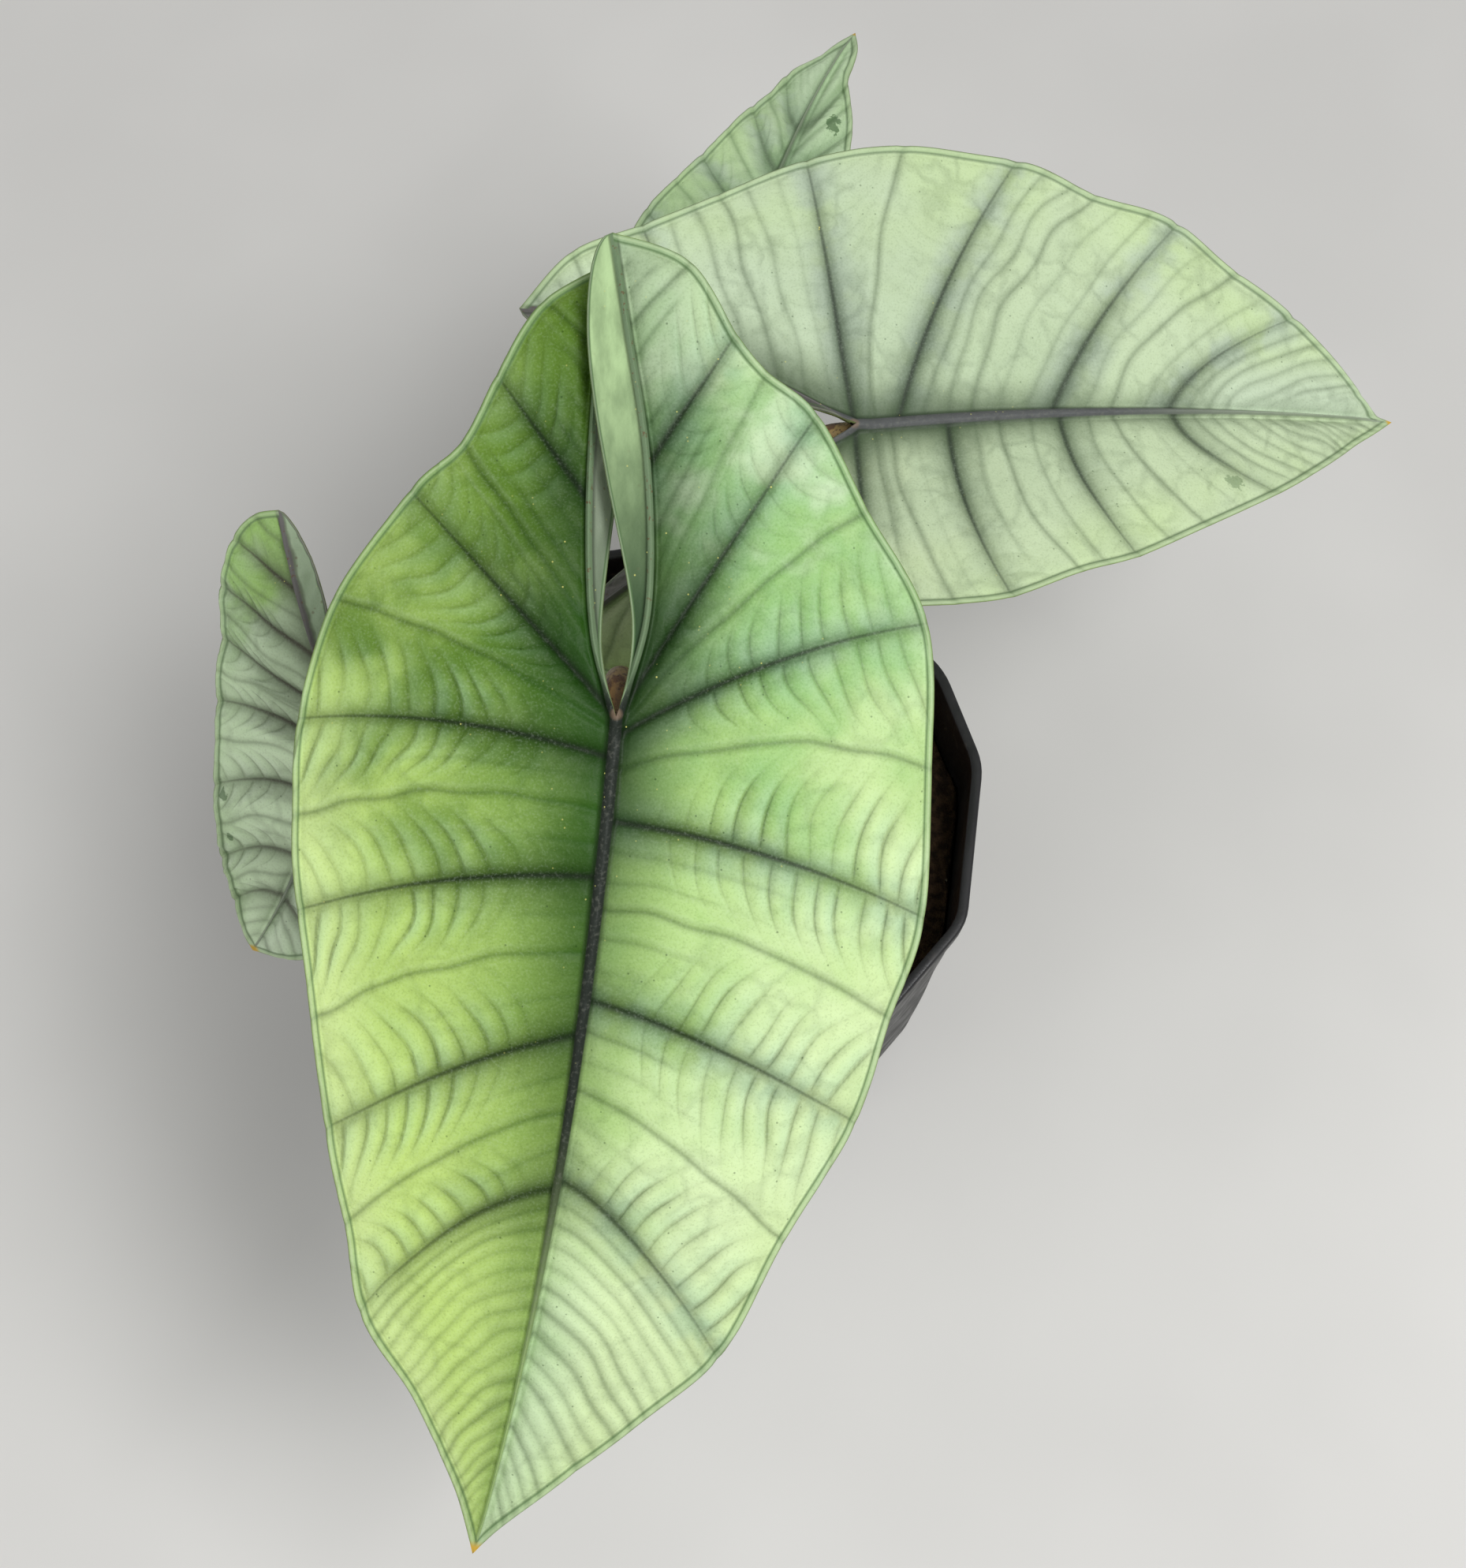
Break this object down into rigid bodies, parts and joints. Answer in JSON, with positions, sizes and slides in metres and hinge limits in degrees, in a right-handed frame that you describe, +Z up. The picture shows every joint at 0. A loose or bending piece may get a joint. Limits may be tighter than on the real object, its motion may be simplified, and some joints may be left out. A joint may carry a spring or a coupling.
{
  "type": "potted alocasia plant",
  "caption": "Young aroid house plant with silvery arrow-shaped leaves on slender stalks, growing from a round plastic plant pot filled with potting mix.",
  "frame": {"origin": "middle of the pot's flat base", "axes": "+Z up, -Y to the front where the large leaf hangs, +X to the right where the silver leaf points"},
  "size_m": [0.2849, 0.3871, 0.2619],
  "materials": {
    "pot_plastic": "black moulded plastic, satin, faintly ribbed, with a paler worn rim",
    "potting_mix": "loose dark bark and coir mix, matte",
    "stem_base": "knobby brown-green stem base with old sheath scars, matte",
    "stalk_skin": "smooth skin, purple-brown with small dark specks, satin",
    "green_blade": "matte to satin leaf skin, green with dark sunken veins and a pale rolled edge",
    "silver_blade": "metallic-looking silvery green leaf skin with dark sunken veins, satin"
  },
  "bodies": {
    "root": {"pot": "pot_plastic", "potting_mix": "potting_mix", "crown": "stem_base", "stalk_front": "stalk_skin", "stalk_right": "stalk_skin", "stalk_back": "stalk_skin", "stalk_left": "stalk_skin", "leaf_front": "green_blade", "leaf_right": "silver_blade", "leaf_back": "green_blade", "leaf_left": "green_blade"}
  },
  "joints": []
}
